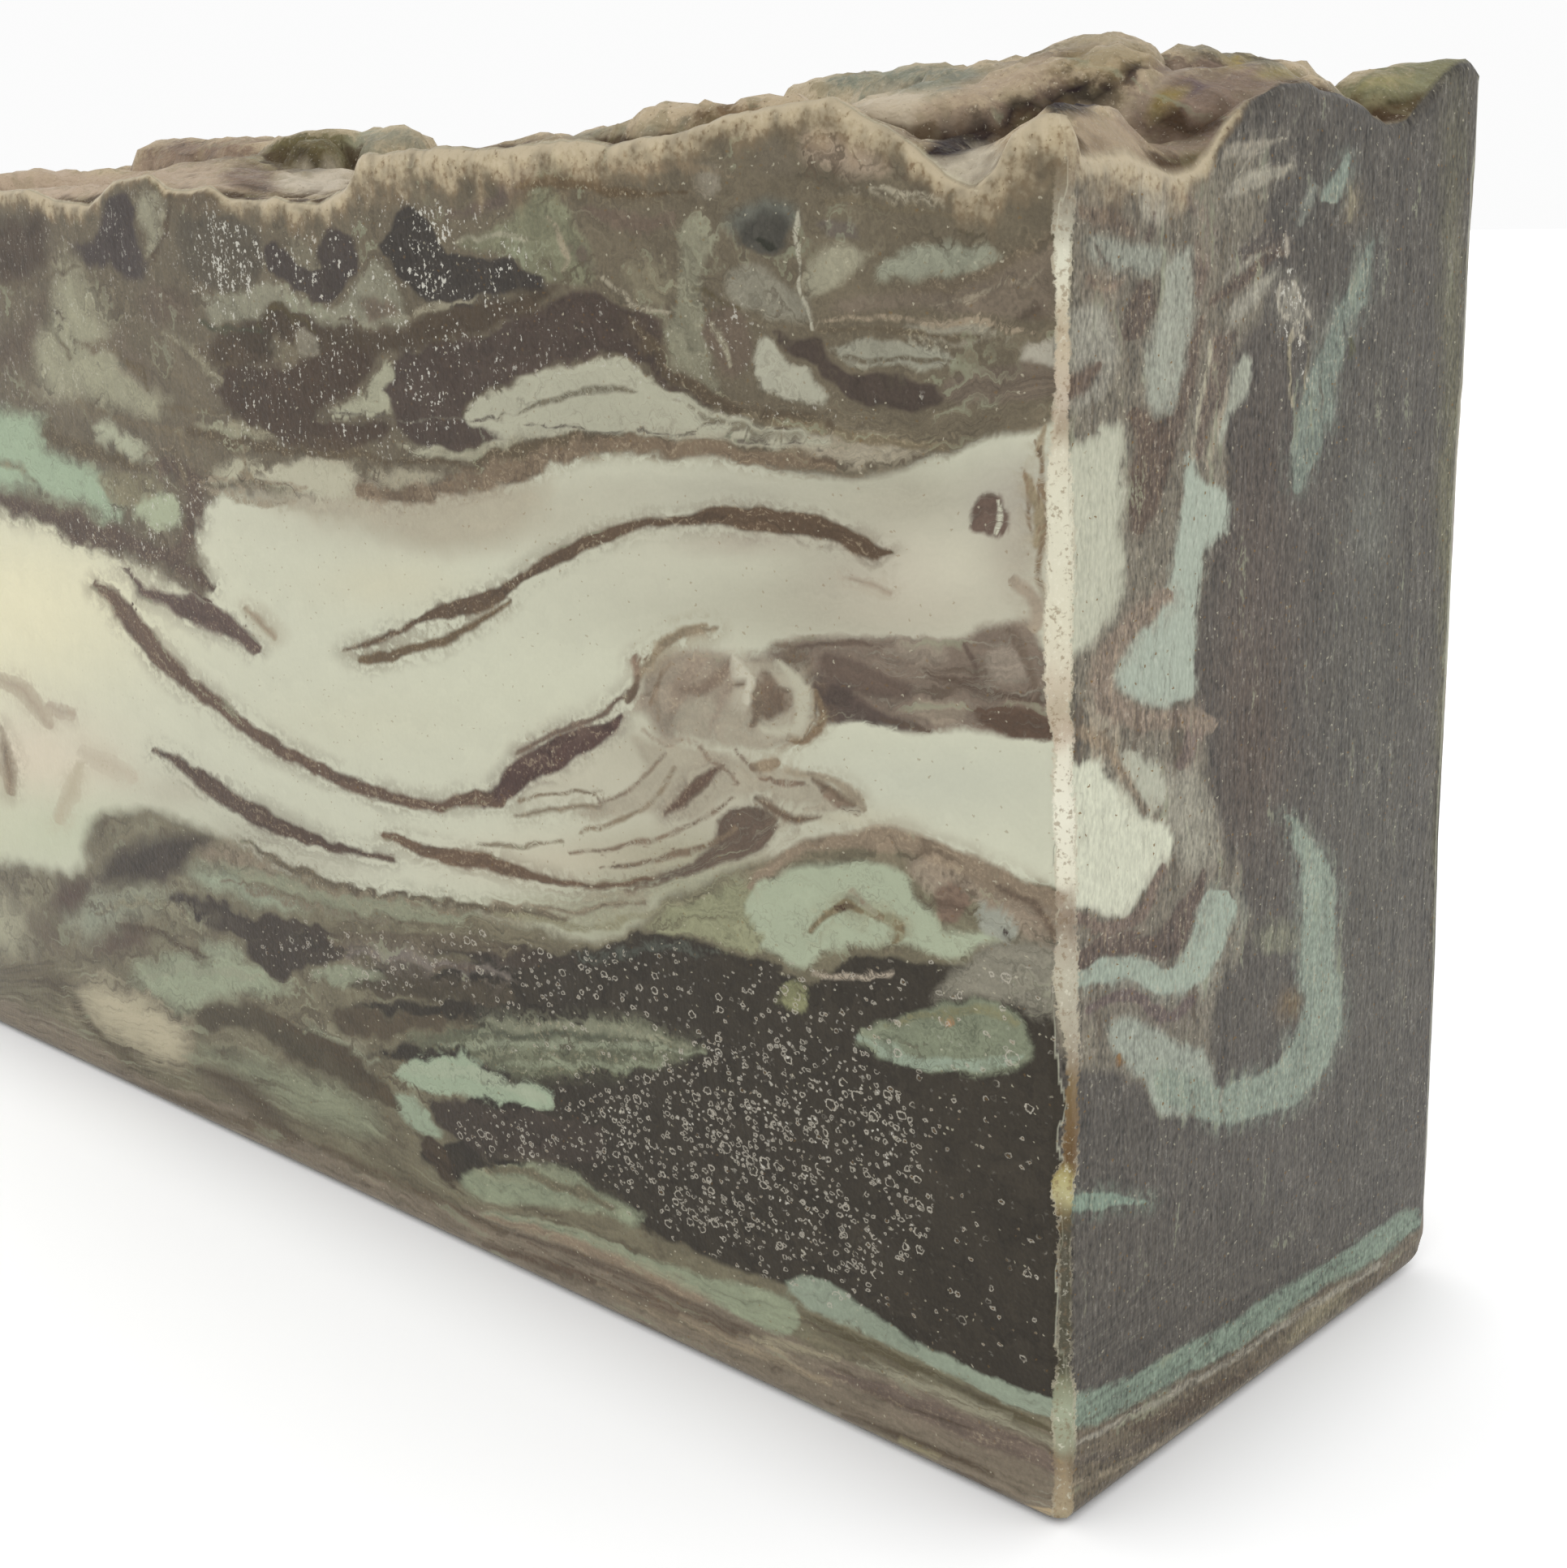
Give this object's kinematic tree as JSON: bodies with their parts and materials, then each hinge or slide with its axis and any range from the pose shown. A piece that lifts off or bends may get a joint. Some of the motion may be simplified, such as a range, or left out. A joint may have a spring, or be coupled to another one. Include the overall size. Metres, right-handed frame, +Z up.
{
  "type": "bar of soap",
  "caption": "Hand-cut rectangular bar of marbled soap with flat cut sides, a flat base and a lumpy stirred top.",
  "frame": {"origin": "middle of the bounding box at the level of the base", "axes": "+Z up through the stirred top, +X along the length towards the end whose edge with the wide cut face has a narrow flat, +Y through the thickness away from that wide cut face"},
  "size_m": [0.095, 0.03, 0.0586],
  "materials": {
    "soap": "satin"
  },
  "bodies": {
    "root": {"soap_bar": "soap"}
  },
  "joints": []
}
